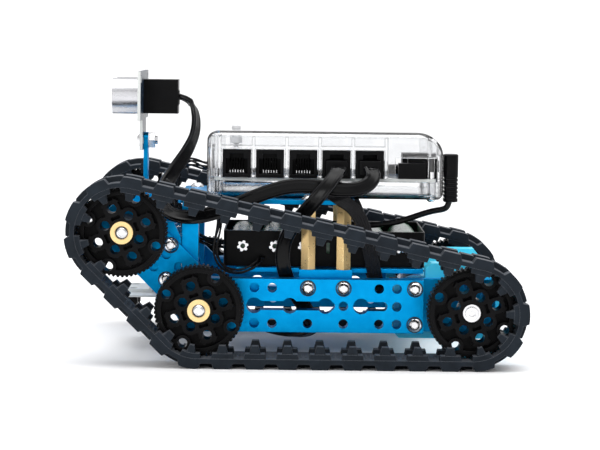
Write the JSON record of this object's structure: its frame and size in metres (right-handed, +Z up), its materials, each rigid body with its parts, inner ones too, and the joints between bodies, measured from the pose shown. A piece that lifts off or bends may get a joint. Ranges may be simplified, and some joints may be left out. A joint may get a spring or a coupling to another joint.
{
  "type": "tracked robot kit",
  "caption": "Small crawler robot: rubber tracks on toothed wheels, slotted blue beams, battery tray, clear controller case and distance and line sensors.",
  "frame": {"origin": "on the ground, at the centre of the footprint of the two tracks", "axes": "+Z up, -X towards the front with the distance sensor, -Y towards the left track"},
  "size_m": [0.2031, 0.156, 0.1283],
  "materials": {
    "black_plastic": "moulded black",
    "black_steel": "black washer",
    "blue_anodised": "blue anodised satin",
    "board_dark": "circuit board",
    "board_white": "white circuit board",
    "brass": "turned",
    "bright_steel": "bright",
    "button_plastic": "button cap",
    "cable_black": "cable jacket",
    "can_silver": "drawn can",
    "cell_wrap": "cell sleeve",
    "clear_plastic": "clear moulded",
    "gearbox_plastic": "light blue moulded",
    "rotor": null,
    "switch_plastic": "switch tab",
    "track_rubber": "matte moulded",
    "wheel_plastic": "moulded black"
  },
  "bodies": {
    "root": {"axle_screws": "bright_steel", "axle_sleeves": "brass", "axle_spacers": "black_plastic", "battery_cells": "cell_wrap", "battery_eyelets": "bright_steel", "battery_holder": "black_plastic", "battery_leads": "cable_black", "board_chips": "black_plastic", "button_screws": "bright_steel", "cable_plugs": "black_plastic", "case_lower": "clear_plastic", "case_upper": "clear_plastic", "controller_plate": "blue_anodised", "dc_plug": "black_plastic", "deck": "blue_anodised", "deck_brackets": "blue_anodised", "distance_board": "board_dark", "distance_cable": "cable_black", "encoder_covers": "black_plastic", "front_arm_left": "blue_anodised", "front_arm_right": "blue_anodised", "front_bundle": "cable_black", "front_columns": "blue_anodised", "front_cross_bracket": "blue_anodised", "gearbox_left": "gearbox_plastic", "gearbox_right": "gearbox_plastic", "hex_standoffs": "brass", "line_board": "board_white", "line_cable": "cable_black", "line_sensor_foot": "board_white", "main_board": "board_dark", "modular_jacks": "black_plastic", "motor_cans": "bright_steel", "motor_plates": "blue_anodised", "motor_ribbon_left": "cable_black", "motor_ribbon_right": "cable_black", "nuts": "bright_steel", "power_lead": "cable_black", "sensor_mast": "blue_anodised", "side_beam_left": "blue_anodised", "side_beam_right": "blue_anodised", "track_left": "track_rubber", "track_right": "track_rubber", "transducers": "can_silver", "washers": "black_steel"},
    "drive_wheel_left": {"wheel_rear_left": "wheel_plastic", "drive_shaft_left": "bright_steel"},
    "upper_idler_left": {"wheel_front_upper_left": "wheel_plastic"},
    "lower_idler_left": {"wheel_front_lower_left": "wheel_plastic"},
    "gear_cluster_left": {"gear_cluster_left": "brass"},
    "motor_rotor_left": {"motor_rotor_left": "rotor"},
    "drive_wheel_right": {"wheel_rear_right": "wheel_plastic", "drive_shaft_right": "bright_steel"},
    "upper_idler_right": {"wheel_front_upper_right": "wheel_plastic"},
    "lower_idler_right": {"wheel_front_lower_right": "wheel_plastic"},
    "gear_cluster_right": {"gear_cluster_right": "brass"},
    "motor_rotor_right": {"motor_rotor_right": "rotor"},
    "power_switch": {"power_switch": "switch_plastic"},
    "reset_button": {"reset_button": "button_plastic"}
  },
  "joints": [
    {"name": "drive_spin_left", "type": "hinge", "parent": "root", "child": "drive_wheel_left", "pos_m": [0.07697, -0.066, 0.0248], "axis": [0, 1, 0], "continuous": true},
    {"name": "upper_idler_spin_left", "type": "hinge", "parent": "root", "child": "upper_idler_left", "pos_m": [-0.07697, -0.066, 0.05874], "axis": [0, 1, 0], "continuous": true},
    {"name": "lower_idler_spin_left", "type": "hinge", "parent": "root", "child": "lower_idler_left", "pos_m": [-0.04303, -0.066, 0.0248], "axis": [0, 1, 0], "continuous": true},
    {"name": "cluster_spin_left", "type": "hinge", "parent": "root", "child": "gear_cluster_left", "pos_m": [0.06294, -0.035, 0.01986], "axis": [0, 1, 0], "continuous": true},
    {"name": "motor_spin_left", "type": "hinge", "parent": "root", "child": "motor_rotor_left", "pos_m": [0.05477, -0.018, 0.027], "axis": [0, 1, 0], "continuous": true},
    {"name": "drive_spin_right", "type": "hinge", "parent": "root", "child": "drive_wheel_right", "pos_m": [0.07697, 0.066, 0.0248], "axis": [0, 1, 0], "continuous": true},
    {"name": "upper_idler_spin_right", "type": "hinge", "parent": "root", "child": "upper_idler_right", "pos_m": [-0.07697, 0.066, 0.05874], "axis": [0, 1, 0], "continuous": true},
    {"name": "lower_idler_spin_right", "type": "hinge", "parent": "root", "child": "lower_idler_right", "pos_m": [-0.04303, 0.066, 0.0248], "axis": [0, 1, 0], "continuous": true},
    {"name": "cluster_spin_right", "type": "hinge", "parent": "root", "child": "gear_cluster_right", "pos_m": [0.06294, 0.035, 0.01986], "axis": [0, 1, 0], "continuous": true},
    {"name": "motor_spin_right", "type": "hinge", "parent": "root", "child": "motor_rotor_right", "pos_m": [0.05477, 0.018, 0.027], "axis": [0, 1, 0], "continuous": true},
    {"name": "switch_slide", "type": "slide", "parent": "root", "child": "power_switch", "axis": [0, 1, 0], "range_m": [0, 0.004]},
    {"name": "reset_press", "type": "slide", "parent": "root", "child": "reset_button", "axis": [0, 0, -1], "range_m": [0, 0.001], "stiffness_N_per_m": 300}
  ],
  "couplings": [
    {"joint": "upper_idler_spin_left", "follows": "drive_spin_left", "ratio": 1},
    {"joint": "lower_idler_spin_left", "follows": "drive_spin_left", "ratio": 1},
    {"joint": "cluster_spin_left", "follows": "drive_spin_left", "ratio": -7.5},
    {"joint": "motor_spin_left", "follows": "drive_spin_left", "ratio": 39},
    {"joint": "upper_idler_spin_right", "follows": "drive_spin_right", "ratio": 1},
    {"joint": "lower_idler_spin_right", "follows": "drive_spin_right", "ratio": 1},
    {"joint": "cluster_spin_right", "follows": "drive_spin_right", "ratio": -7.5},
    {"joint": "motor_spin_right", "follows": "drive_spin_right", "ratio": 39}
  ]
}
